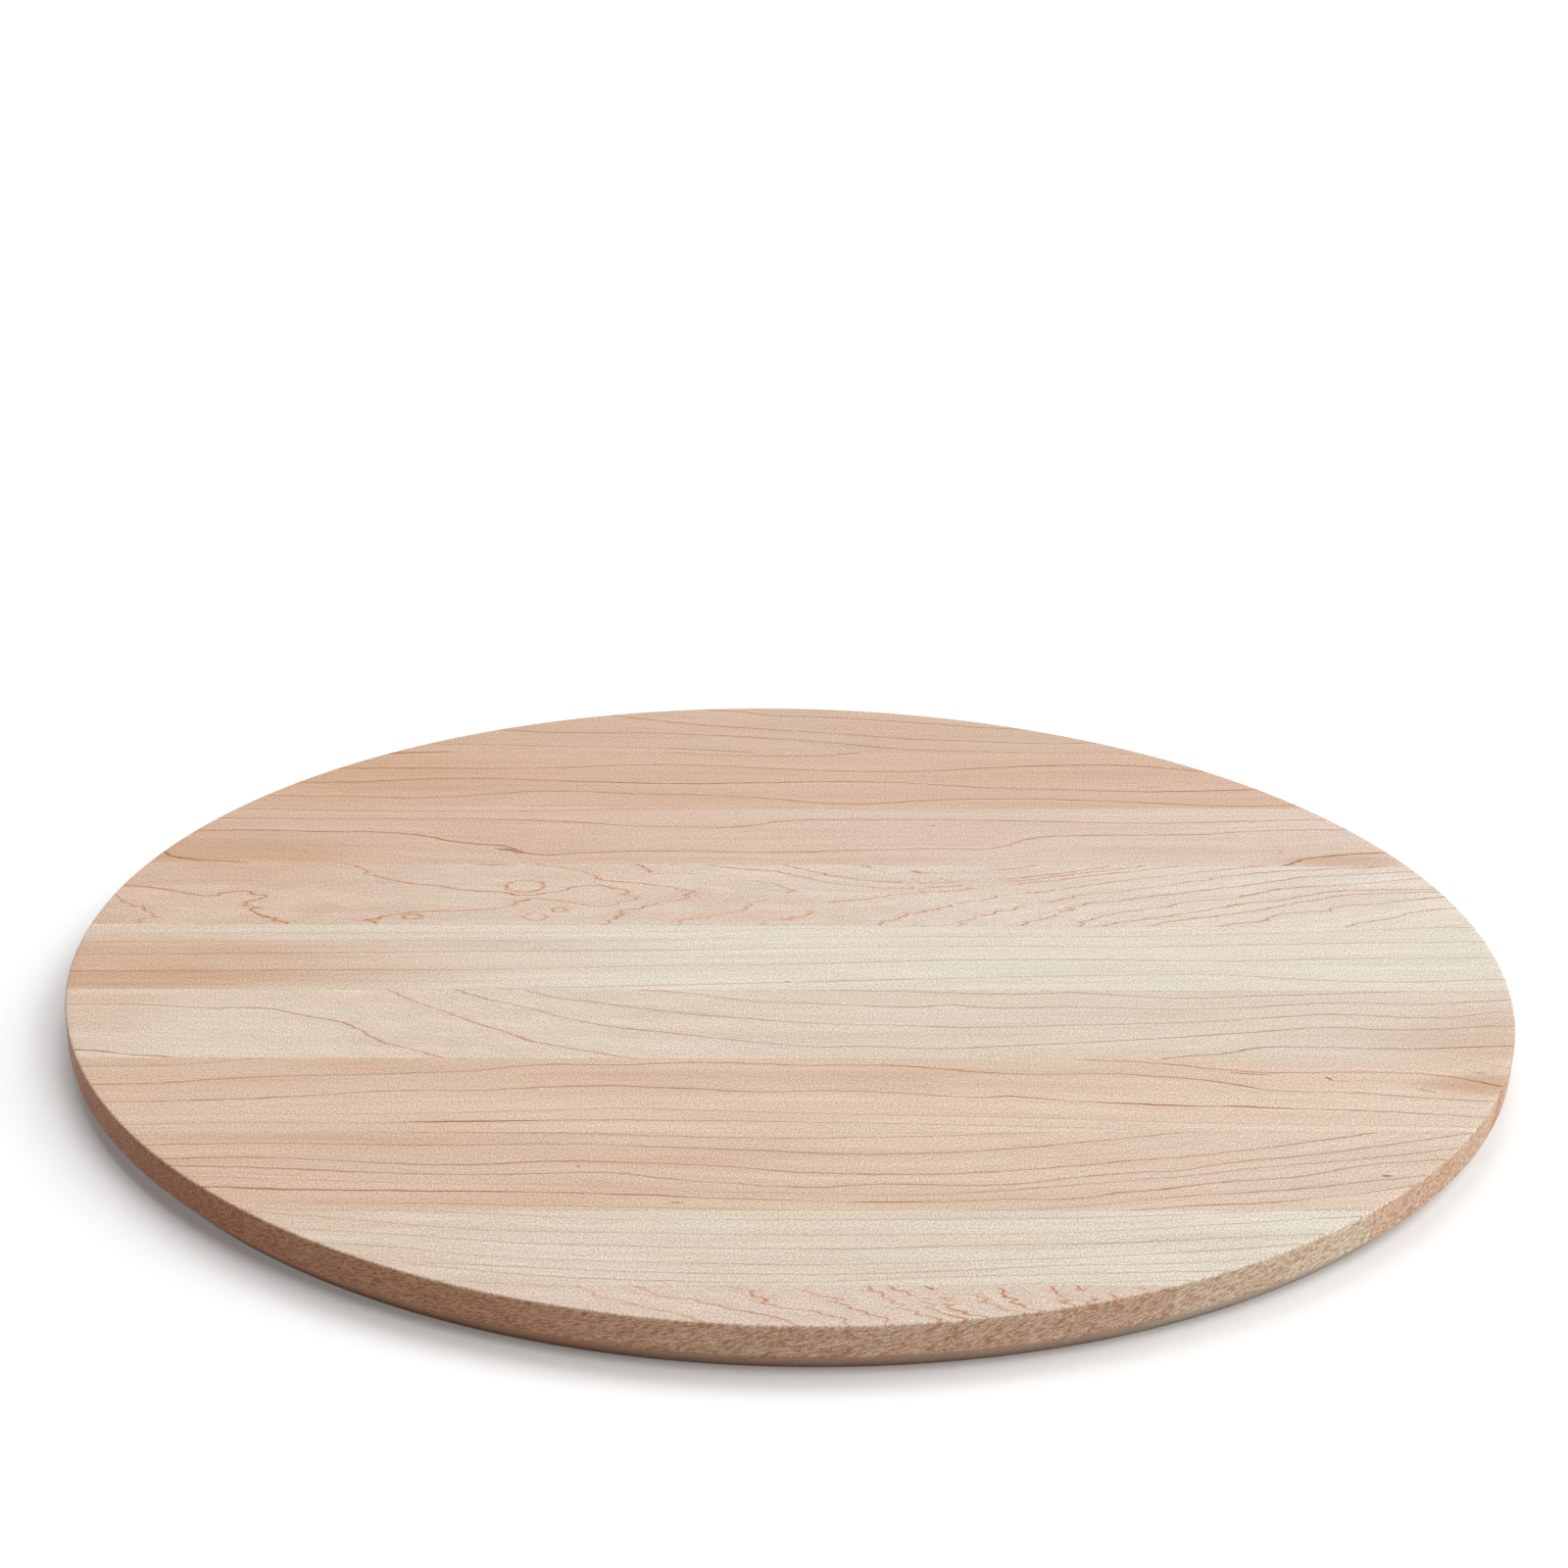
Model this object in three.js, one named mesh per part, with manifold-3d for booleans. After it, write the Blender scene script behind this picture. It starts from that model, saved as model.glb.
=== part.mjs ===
// A round maple serving platter, made the way the real one is: planed staves are edge-glued into a flat
// panel, and the panel is then routed round, with one edge profile that runs across every stave.
// Millimetres. The origin is the centre of the underside, X runs along the grain, +Y points to the back
// of the board and +Z points up.

import * as THREE from 'three';
import { mergeVertices, toCreasedNormals } from 'three/addons/utils/BufferGeometryUtils.js';
import Module from 'manifold-3d';

// Finished disc
const DIAMETER = 480;
const THICKNESS = 18;

// Edge profile, from the underside up: a 45 degree chamfer that fingertips get under, a face that leans out
// slightly as it rises, and the small radius that sanding leaves along the top edge
const CHAMFER = 7.5;
const RIM_LEAN = 0.6;
const TOP_EASE = 0.7;

// Stave layout, from the back of the board to the front. The outermost two are what the round outline
// leaves of their boards, and the one behind the front stave is ripped to fill what the full ones leave.
const STAVE_WIDTH = 52;
const BACK_STAVE_DEPTH = 45;
const FRONT_STAVE_DEPTH = 24;

// Cured glue between two staves, sanded flush with them
const GLUE_FILM = 0.2;

// Facets of the turned shape: round the disc, and along the small radius of its top edge
const TURN_FACETS = 192;
const TOP_EASE_FACETS = 3;
const CREASE_ANGLE = THREE.MathUtils.degToRad(30);

// Oiled maple runs from cream sapwood to a pinkish tan heartwood, and each stave comes from another board
const MAPLE_TONES = {
  tan: '#d3b49d',
  rose: '#d9c1ad',
  pale: '#dccab9',
  cream: '#dfd3c4',
};
const STAVE_TONES = {
  back_stave: 'tan',
  stave_1: 'tan',
  stave_2: 'rose',
  stave_3: 'pale',
  stave_4: 'cream',
  stave_5: 'pale',
  stave_6: 'rose',
  stave_7: 'tan',
  ripped_stave: 'cream',
  front_stave: 'pale',
};
const USUAL_TONE = 'pale';
const MAPLE_ROUGHNESS = 0.55;
const GLUE_COLOUR = '#cdb08f';
const GLUE_ROUGHNESS = 0.4;

const radius = DIAMETER / 2;

const wasm = await Module();
wasm.setup();

// A closed geometry as a solid that can be cut. Triangles that shrank to a line on the turning axis go.
function solidFrom(geometry) {
  geometry.deleteAttribute('normal');
  geometry.deleteAttribute('uv');
  const merged = mergeVertices(geometry);
  const corners = merged.index.array;
  const triangles = [];
  for (let first = 0; first < corners.length; first += 3) {
    const [a, b, c] = corners.slice(first, first + 3);
    if (a !== b && b !== c && c !== a) {
      triangles.push(a, b, c);
    }
  }
  const vertProperties = merged.attributes.position.array;
  const triVerts = new Uint32Array(triangles);
  return new wasm.Manifold(new wasm.Mesh({ numProp: 3, vertProperties, triVerts }));
}

// A solid as a geometry that shades smoothly along the rim and crisply at its corners
function geometryFrom(solid) {
  const { vertProperties, triVerts } = solid.getMesh();
  const geometry = new THREE.BufferGeometry();
  geometry.setAttribute('position', new THREE.BufferAttribute(vertProperties, 3));
  geometry.setIndex(new THREE.BufferAttribute(triVerts, 1));
  return toCreasedNormals(geometry, CREASE_ANGLE);
}

// A quarter circle, anticlockwise from the start angle
function quarterRound(centreX, centreY, arcRadius, startDegrees, facets) {
  const points = [];
  for (let step = 0; step <= facets; step += 1) {
    const angle = THREE.MathUtils.degToRad(startDegrees + (90 * step) / facets);
    const x = centreX + arcRadius * Math.cos(angle);
    const y = centreY + arcRadius * Math.sin(angle);
    points.push(new THREE.Vector2(x, y));
  }
  return points;
}

// The routed disc: half of its cross-section, turned about the upright axis
function turnedDisc() {
  const section = [
    new THREE.Vector2(0, 0),
    new THREE.Vector2(radius - RIM_LEAN - CHAMFER, 0),
    new THREE.Vector2(radius - RIM_LEAN, CHAMFER),
    ...quarterRound(radius - TOP_EASE, THICKNESS - TOP_EASE, TOP_EASE, 0, TOP_EASE_FACETS),
    new THREE.Vector2(0, THICKNESS),
  ];
  const turned = new THREE.LatheGeometry(section, TURN_FACETS);
  turned.rotateX(Math.PI / 2);
  return solidFrom(turned);
}

// A strip of the glued panel between two lines across it, larger than the disc until it is routed. Its two
// long faces lie exactly on those lines, so that neighbouring strips meet face to face.
function panelStrip(frontY, backY) {
  const strip = new THREE.BoxGeometry(2 * DIAMETER, 1, 3 * THICKNESS);
  strip.translate(0, 0, THICKNESS / 2);
  const position = strip.attributes.position;
  for (let corner = 0; corner < position.count; corner += 1) {
    position.setY(corner, position.getY(corner) > 0 ? backY : frontY);
  }
  return solidFrom(strip);
}

// The staves' names and the joints between them, from the back of the board to the front. As many full
// staves are used as leave a ripped one no narrower than the front stave.
function panelLayout() {
  const backJoint = radius - BACK_STAVE_DEPTH;
  const frontJoint = FRONT_STAVE_DEPTH - radius;
  const narrowestRip = FRONT_STAVE_DEPTH;
  const fullStaves = Math.floor((backJoint - frontJoint - narrowestRip) / STAVE_WIDTH);
  const staves = ['back_stave'];
  const joints = [{ name: 'back_glue_line', y: backJoint }];
  for (let number = 1; number <= fullStaves; number += 1) {
    staves.push(`stave_${number}`);
    joints.push({ name: `glue_line_${number}`, y: backJoint - number * STAVE_WIDTH });
  }
  staves.push('ripped_stave', 'front_stave');
  joints.push({ name: 'front_glue_line', y: frontJoint });
  return { staves, joints };
}

function piece(name, solid, color, roughness) {
  const material = new THREE.MeshStandardMaterial({ color, roughness, metalness: 0 });
  const mesh = new THREE.Mesh(geometryFrom(solid), material);
  mesh.name = name;
  return mesh;
}

const platter = new THREE.Group();
platter.name = 'serving_platter';

const disc = turnedDisc();
const { staves, joints } = panelLayout();

// Staves: the strips of the panel between neighbouring glue films, routed to the disc
const panelEdge = DIAMETER;
const staveBacks = [panelEdge, ...joints.map((joint) => joint.y - GLUE_FILM / 2)];
const staveFronts = [...joints.map((joint) => joint.y + GLUE_FILM / 2), -panelEdge];
staves.forEach((name, index) => {
  const stave = disc.intersect(panelStrip(staveFronts[index], staveBacks[index]));
  const tone = STAVE_TONES[name] ?? USUAL_TONE;
  platter.add(piece(name, stave, MAPLE_TONES[tone], MAPLE_ROUGHNESS));
});

// Glue films: each fills the gap between two staves and follows the same routed profile
joints.forEach(({ name, y }) => {
  const film = disc.intersect(panelStrip(y - GLUE_FILM / 2, y + GLUE_FILM / 2));
  platter.add(piece(name, film, GLUE_COLOUR, GLUE_ROUGHNESS));
});

export default platter;
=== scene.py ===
# %% [markdown]
# # A round maple serving platter
#
# The platter is one flat panel of edge-glued maple staves, routed round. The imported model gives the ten
# staves and the nine films of glue between them, all in one frame: X along the grain, +Y to the back of
# the board, +Z up, with the origin under its centre. This lesson keeps that frame, gives each stave a
# mesh that is fine enough to carry its own growth rings, and then finishes, lights and photographs it.

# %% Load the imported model
import math

import bmesh
import bpy
import numpy as np
from mathutils import Matrix, Vector


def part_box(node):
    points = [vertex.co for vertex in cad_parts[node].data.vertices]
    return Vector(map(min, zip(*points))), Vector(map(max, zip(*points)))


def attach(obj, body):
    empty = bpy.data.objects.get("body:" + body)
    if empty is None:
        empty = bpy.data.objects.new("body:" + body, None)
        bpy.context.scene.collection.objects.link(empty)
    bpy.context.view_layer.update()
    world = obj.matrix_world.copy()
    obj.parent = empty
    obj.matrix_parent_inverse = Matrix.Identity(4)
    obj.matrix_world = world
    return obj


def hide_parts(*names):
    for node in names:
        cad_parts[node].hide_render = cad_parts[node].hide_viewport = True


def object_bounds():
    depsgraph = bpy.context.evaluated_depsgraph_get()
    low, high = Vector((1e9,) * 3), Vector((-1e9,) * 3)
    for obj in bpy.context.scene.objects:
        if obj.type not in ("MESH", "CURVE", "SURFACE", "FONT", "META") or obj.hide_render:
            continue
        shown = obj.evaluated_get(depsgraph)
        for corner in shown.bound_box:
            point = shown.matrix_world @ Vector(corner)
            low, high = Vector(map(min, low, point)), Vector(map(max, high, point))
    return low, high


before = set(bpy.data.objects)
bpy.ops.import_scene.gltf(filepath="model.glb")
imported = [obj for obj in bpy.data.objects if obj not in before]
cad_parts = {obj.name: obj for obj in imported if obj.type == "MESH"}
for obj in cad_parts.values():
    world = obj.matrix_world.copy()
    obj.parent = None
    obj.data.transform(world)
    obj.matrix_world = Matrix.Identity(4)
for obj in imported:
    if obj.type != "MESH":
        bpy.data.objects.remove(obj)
cad_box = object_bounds()
MM = 0.001
board_low, board_high = (Vector(corner) for corner in cad_box)
RADIUS = (board_high.x - board_low.x) / 2
THICKNESS = board_high.z - board_low.z
staves = [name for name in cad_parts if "stave" in name]
films = [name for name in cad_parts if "glue" in name]
print(f"{len(staves)} staves and {len(films)} glue films")
print(f"{2 * RADIUS / MM:.0f} mm across, {THICKNESS / MM:.0f} mm thick")

# %% [markdown]
# ## The camera
#
# The photograph looks down at the board from the front, from about a metre and a half away, with a long
# lens. Its place was worked out from the rim, which a camera sees as an ellipse, and from the even spacing
# of the glue lines. A camera could also be aimed with a constraint, but three turns applied to one
# another say plainly what it does: lean, tilt down, and turn a little to the right.

# %% Camera
CAMERA_PLACE = (-64.6 * MM, -1425.4 * MM, 680.5 * MM)
CAMERA_TURN_RIGHT = math.radians(2.45)
CAMERA_TILT_DOWN = math.radians(22.6)
CAMERA_LEAN_LEFT = math.radians(1.16)
LENS_MM = 108
SENSOR_MM = 36

camera_data = bpy.data.cameras.new("camera")
camera_data.lens = LENS_MM
camera_data.sensor_width = SENSOR_MM
camera = bpy.data.objects.new("camera", camera_data)
turn = Matrix.Rotation(-CAMERA_TURN_RIGHT, 4, "Z")
tilt = Matrix.Rotation(math.radians(90) - CAMERA_TILT_DOWN, 4, "X")
lean = Matrix.Rotation(CAMERA_LEAN_LEFT, 4, "Z")
camera.matrix_world = Matrix.Translation(CAMERA_PLACE) @ turn @ tilt @ lean
bpy.context.collection.objects.link(camera)
bpy.context.scene.camera = camera
print(f"camera {Vector(CAMERA_PLACE).length:.2f} m from the board's centre")

# %% [markdown]
# ## The routed edge
#
# A router bit gave the whole rim one profile: a small radius that sanding left along the top edge, a face
# that leans in slightly on its way down, and a chamfer that fingertips get under. It is written once as
# pairs of radius and height, from the top face down, and every stave uses it, so the edge runs unbroken
# across the joints. A Bevel modifier could soften these edges too, but it would also round the glue
# joints, which are sharp.

# %% Edge profile
TOP_EASE = 0.7 * MM
RIM_LEAN = 0.6 * MM
CHAMFER = 7.5 * MM
CORNER_EASE = 0.5 * MM
TOP_EASE_STEPS = 4
FACE_STEPS = 7
CHAMFER_STEPS = 6


def edge_profile():
    """Radius and height of each level of the rim, from the top face down to the underside."""
    levels = []
    for step in range(TOP_EASE_STEPS + 1):
        angle = math.radians(90 * (1 - step / TOP_EASE_STEPS))
        radius = RADIUS - TOP_EASE + TOP_EASE * math.cos(angle)
        height = THICKNESS - TOP_EASE + TOP_EASE * math.sin(angle)
        levels.append(Vector((radius, height)))
    corner = Vector((RADIUS - RIM_LEAN, CHAMFER))
    foot = Vector((RADIUS - RIM_LEAN - CHAMFER, 0))
    face_end = corner + (levels[-1] - corner).normalized() * CORNER_EASE
    chamfer_start = corner + (foot - corner).normalized() * CORNER_EASE
    face_start = levels[-1]
    for step in range(1, FACE_STEPS + 1):
        levels.append(face_start.lerp(face_end, step / FACE_STEPS))
    levels.append((face_end + 2 * corner + chamfer_start) / 4)
    for step in range(CHAMFER_STEPS + 1):
        levels.append(chamfer_start.lerp(foot, step / CHAMFER_STEPS))
    return levels


profile = edge_profile()
print(f"edge profile of {len(profile)} levels")

# %% [markdown]
# ## One stave
#
# A stave is the strip of the routed disc between two glue faces. It is made of rows that run along the
# grain. Each row goes once round the strip: across the top, down the rim at one end, back along the
# underside and up the other end. Where a stave reaches the front or back of the board its last row shrinks
# to a line, and merging the doubled corners there closes it. Cutting the disc with a Boolean would be
# quicker to write, but it leaves long thin triangles, and the rings need an even net of points.

# %% One row of a stave
UNDERSIDE_COLUMNS = 60


def stave_section(front, back, share, columns):
    """One row round the strip, at that share of the way from its front joint to its back joint."""
    ends = []
    for radius, height in profile:
        first = math.asin(max(front / radius, -1))
        last = math.asin(min(back / radius, 1))
        angle = first + (last - first) * share
        ends.append((radius * math.cos(angle), radius * math.sin(angle), height))
    top_x, top_y, top_z = ends[0]
    low_x, low_y, low_z = ends[-1]
    across_top = [(x, top_y, top_z) for x in np.linspace(-top_x, top_x, columns + 1)]
    right_rim = ends[1:-1]
    across_underside = [(x, low_y, low_z) for x in np.linspace(low_x, -low_x, UNDERSIDE_COLUMNS + 1)]
    left_rim = [(-x, y, z) for x, y, z in reversed(right_rim)]
    return across_top + right_rim + across_underside + left_rim


print(f"{len(stave_section(-0.1, 0.1, 0.5, 100))} points in a row of 100 columns")

# %% Stave mesh
CLOSED_GAP = 0.01 * MM
CORNER_ANGLE = math.radians(40)


def stave_mesh(name, column_step, row_step):
    """The stave's closed mesh, with smooth faces and sharp corners."""
    low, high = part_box(name)
    widest = math.sqrt(max(RADIUS**2 - min(abs(low.y), abs(high.y)) ** 2, 0))
    columns = round(2 * widest / column_step)
    arc = math.asin(min(high.y / RADIUS, 1)) - math.asin(max(low.y / RADIUS, -1))
    rows = math.ceil(max(high.y - low.y, RADIUS * arc / 2) / row_step)
    sections = [stave_section(low.y, high.y, row / rows, columns) for row in range(rows + 1)]
    loop = len(sections[0])
    corners = [corner for section in sections for corner in section]
    faces = []
    for row in range(rows):
        for step in range(loop):
            near = row * loop + step
            near_next = row * loop + (step + 1) % loop
            faces.append((near, near_next, near_next + loop, near + loop))
    if low.y > CLOSED_GAP - RADIUS:
        faces.append(tuple(reversed(range(loop))))
    if high.y < RADIUS - CLOSED_GAP:
        faces.append(tuple(range(rows * loop, (rows + 1) * loop)))
    mesh = bpy.data.meshes.new(name)
    mesh.from_pydata(corners, [], faces)
    work = bmesh.new()
    work.from_mesh(mesh)
    bmesh.ops.remove_doubles(work, verts=work.verts, dist=CLOSED_GAP)
    bmesh.ops.recalc_face_normals(work, faces=work.faces)
    work.to_mesh(mesh)
    work.free()
    mesh.shade_smooth()
    mesh.set_sharp_from_angle(angle=CORNER_ANGLE)
    return mesh


# %% All ten staves
COLUMN_STEP = 2.5 * MM
ROW_STEP = 1.5 * MM
# The two figured staves need a finer net, because their rings turn back on themselves
FINE_STEP = 0.8 * MM
FIGURED = ("stave_3", "front_stave")

visual_staves = {}
for name in staves:
    fine = name in FIGURED
    column_step = FINE_STEP if fine else COLUMN_STEP
    row_step = FINE_STEP if fine else ROW_STEP
    piece = bpy.data.objects.new(f"{name}_wood", stave_mesh(name, column_step, row_step))
    bpy.context.collection.objects.link(piece)
    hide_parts(name)
    visual_staves[name] = piece
points = sum(len(piece.data.vertices) for piece in visual_staves.values())
print(f"{points} points in {len(visual_staves)} staves")

# %% [markdown]
# ## Growth rings
#
# On a flat-sawn face each year's growth ends in one thin brown line, and where the tree swelled or bent the
# lines wander. No noise texture wanders like that, so the lines of each stave are drawn, like pencil lines
# on the board: points in millimetres, joined by a smooth curve, listed in order across the stave. A third
# number in a point is how dark the line is there, where it isn't plain.

# %% Rings of the two staves at the back
rings = {}
rings["back_stave"] = [
    [(-24, 238), (-10, 236), (0, 232.4), (20, 231), (40, 228), (60, 224.7), (80, 221), (92, 219.8)],
    [(-61, 232), (-50, 229), (-30, 223.5), (0, 218), (27, 214), (50, 209.6), (75, 207.3), (105, 205),
     (122, 206)],
    [(-105, 216.7), (-74, 213.8), (-50, 214), (-24, 212.2), (0, 209), (24, 204.6), (42, 200.4), (67, 197.2),
     (105, 196.4, 0.6), (135, 197.6, 0.5)],
    [(-129, 202.8, 0.7), (-90, 201, 0.6), (-55, 200, 0.6), (-27, 197.5), (-3, 194.7), (20, 192)],
]
rings["stave_1"] = [
    [(-144, 192.6, 2), (-125, 194.3, 2), (-105, 196), (-60, 196.5), (-38, 195), (-20, 192.5), (0, 191.8),
     (17, 192), (28, 194.3), (45, 196), (150, 197)],
    [(-164, 178, 1.3), (-120, 178.6, 1.2), (-100, 178.6, 0.8), (-75, 180), (-55, 182.2), (-38, 183.1),
     (-16, 181.4), (10, 178.4), (48, 177), (62, 178, 1.2), (75, 180.3, 1.2), (108, 183.6, 1.3),
     (130, 184, 1.3),
     (150, 180.5, 1.3), (161, 178, 1.2)],
    [(-177, 164.6, 1.4), (-155, 165, 1.4), (-132, 167.7), (-112, 169.2), (-85, 167.4), (-32, 164.7, 1.2),
     (-2, 166, 1.3), (26, 167.2), (50, 166), (75, 162.3), (110, 160), (137, 158.5, 1.2), (157, 159.6, 1.4),
     (178, 161, 1.4)],
    [(-186, 152.3), (-155, 151.2), (-130, 150.3), (-106, 153.3), (-92, 156.3), (-80, 157.2), (-50, 155),
     (-19, 153.3), (5, 149.4), (17, 146.7), (38, 146.7), (50, 149), (85, 151.2), (130, 148.6), (165, 145.4),
     (190, 146.4)],
]
print(f"{len(rings['back_stave'])} and {len(rings['stave_1'])} ring lines")

# %% Rings of the next staves
rings["stave_2"] = [
    [(-196, 140.2, 0.5), (-160, 138.4, 0.6), (-120, 137.9, 0.6), (-85, 138.8, 0.6), (-52, 141, 0.5),
     (0, 142.2, 0.4),
     (50, 141.5, 0.4), (85, 142.3, 0.4), (160, 143.2, 0.4)],
    [(-202, 131.1), (-160, 130.7), (-90, 130), (-70, 128), (-58, 126), (-30, 124.5), (-17, 124.4),
     (-8, 126.3),
     (-1, 129.3), (8, 130.7), (30, 131.8), (85, 131), (135, 129.4), (200, 133.5)],
    [(-209, 119.7), (-190, 120.3), (-165, 119.2), (-135, 117.8, 1.3), (-127, 115.8, 1.5), (-119, 111.8, 1.5),
     (-106, 108, 1.5), (-97, 106.2, 1.6), (-92, 102, 1.8), (-86, 99.3, 1.4), (-70, 100.8), (-50, 102.4),
     (0, 101.8),
     (25, 103.5), (55, 105.6), (75, 106), (81, 108.3), (87, 113.4), (93, 115.8), (115, 118), (153, 119.4),
     (172, 122.4), (206, 124)],
    [(-219, 103.5, 2), (-217, 100, 2), (-214, 96.5, 2), (-208, 94.5, 1.8), (-195, 92.5, 1.6), (-180, 90),
     (-120, 84),
     (0, 80), (120, 84), (176, 90), (181, 93.5, 1.8), (185, 97, 1.8), (192, 99, 1.8), (205, 102, 1.8),
     (217, 103.3, 1.6)],
]
rings["stave_4"] = [
    [(-238, 30, 0.5), (-180, 31.6, 0.5), (-100, 32.6, 0.5), (-51, 33.4, 0.5), (-22, 35, 0.5), (40, 38, 0.4),
     (90, 41)],
    [(-238, 24, 0.7), (-145, 25.4, 0.7), (-51, 26.8, 0.7), (-22, 28.6, 0.7), (27, 30, 0.7), (118, 30.7, 0.7),
     (150, 32.6, 0.7), (188, 35.8, 0.7), (234, 39, 0.7)],
    [(-238, 14), (-148, 15.7), (-100, 17.3), (-35, 18.7), (5, 20.6), (68, 22.6), (121, 22), (150, 23.7),
     (188, 25.4),
     (237, 27)],
    [(-238, 1, 1.6), (-200, 1.2, 1.5), (-148, 2.3, 1.2), (-95, 3), (-51, 5.8), (5, 7.7), (53, 10.8),
     (76, 11.5),
     (121, 11.2), (150, 10.8), (176, 12.5), (238, 13.7)],
    [(-150, -16), (-95, -12.2), (-63, -10.6), (-22, -8.2), (11, -6), (43, -4.2), (76, -2), (108, -0.9),
     (150, -0.9),
     (164, -3), (206, -5.6), (239, -3.4)],
]
rings["stave_5"] = [
    [(-10, -12), (34, -13.7), (84, -15.4), (94, -14.2), (103, -16), (127, -18.6), (160, -16.6), (203, -13.2),
     (225, -12)],
    [(-50, -13), (-32, -16.2), (-15, -21.4), (5, -23), (40, -25.8), (54, -24.6), (60, -25.8), (92, -25.5),
     (127, -27.3), (155, -25.2), (177, -22.1), (208, -23.1), (238, -19.5)],
    [(-90, -12.3), (-80, -18.3), (-66, -22.6), (-40, -30), (-14, -35.2), (5, -38.4), (36, -40), (55, -41.4),
     (92, -39.4), (128, -37.3), (162, -32.8), (175, -31), (204, -33.3), (221, -32.3), (231, -28.9),
     (238, -29.2)],
    [(-112, -12.9), (-103, -19), (-85, -28.4), (-77, -33.6), (-66, -39), (-38, -46.5), (-14, -52.6), (6, -56),
     (25, -55.7), (44, -57.4), (70, -55), (108, -50.8), (145, -45.4), (170, -41.2), (179, -40.8),
     (190, -42.3),
     (215, -41.6), (229, -39.5), (237, -39.8)],
    [(-134, -12.9), (-125.5, -21.6), (-117, -28), (-103, -39.7, 1.3), (-94, -45.5, 1.3), (-90, -49.2, 1.3),
     (-72, -57.8, 1.2), (-53, -64.5), (-30, -69), (30, -74), (90, -71), (112, -66.5, 1.2), (124, -63, 1.4),
     (141, -59.7, 1.4), (147, -57, 1.4), (170, -55.8, 1.2), (200, -57.1, 1.2), (224, -55, 1.4),
     (234, -54.7, 1.4)],
    [(-237, -25.2), (-217, -25), (-190, -27.6, 1.3), (-172, -28, 1.3), (-160, -33.3, 1.3), (-148, -38.2, 1.3),
     (-141, -44.5, 1.2), (-135, -52, 1.2), (-126, -57.5), (-114.5, -64.5)],
    [(-231, -59, 1.6), (-222, -60.4, 1.6), (-216, -62.2, 1.6), (-206, -63.4, 1.6), (-198, -65)],
]
print(f"{sum(len(lines) for lines in rings.values())} ring lines so far")

# %% [markdown]
# The fourth stave comes from near a knot or a crotch, where the fibres curl. Its lines run in two groups.
# On the right they rise in long slanting curves. On the left they turn back in nested points, the
# innermost with a round bulb, and a few close up into small eyes.

# %% Rings of the curly stave
rings["stave_3"] = [
    [(20, 97), (30, 89.5), (36, 87.3), (42, 88.4), (45, 85.4), (55, 83.5), (68, 85.4), (85, 89.1), (100, 95)],
    [(-8, 97), (3, 89.5), (8, 86.2), (14, 83), (29, 77.4), (46, 75.2), (64, 76.4), (79, 79), (108, 87.4),
     (122, 93)],
    [(-45, 97), (-28, 91), (-14, 87), (0, 84), (5, 81), (10, 78), (24, 73), (35, 70.9), (47, 71), (64, 73.3),
     (79, 76.5), (105, 84.1), (124, 89.5), (140, 95)],
    [(-14, 36), (-5, 42.4), (3, 45.5), (8, 47.5), (10.5, 52), (14, 57), (29, 61.5), (37, 64.5), (60, 69),
     (87, 75.7),
     (116, 84.1), (135, 89.1), (155, 95)],
    [(28, 35), (31, 39.8), (37, 44.3), (44, 49.3), (60, 57), (68, 61.2), (92, 68.5), (118, 77.4), (132, 81.4),
     (158, 88.3), (190, 95)],
    [(54, 35), (58, 39.8), (63, 44.3), (72, 49.9), (92, 59.6), (101, 64), (124, 70.6), (150, 79.5),
     (163, 83.8),
     (188, 87.8), (225, 92)],
    [(76, 35), (80, 39.8), (88, 44.3), (95, 49), (98, 53.2), (119, 61.5), (143, 68.5), (169, 76.5),
     (180, 80.3),
     (209, 84.6), (225, 87)],
    [(96, 35), (100, 39.8), (105, 45), (124, 53.2), (135, 56.7), (140, 59.6), (153, 62), (174, 70.9),
     (201, 75.4), (225, 81)],
    [(104, 38), (119, 43.5), (134, 48.3), (156, 56.9), (182, 65.3), (188, 68.2), (205, 70.1), (229, 71)],
    [(118, 36), (126, 40.3), (135, 44.3), (145, 46.7), (169, 54.8), (181, 60.4), (192, 64.5), (221, 68.5),
     (232, 69)],
    [(138, 36), (150, 40.3), (163, 43.5), (171, 49.1), (188, 53.2), (194, 56.7), (205, 58), (218, 62),
     (232, 65)],
    [(187, 36), (193, 39.8), (203, 44.3), (209, 46), (216, 50.7), (232, 55)],
]
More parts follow.
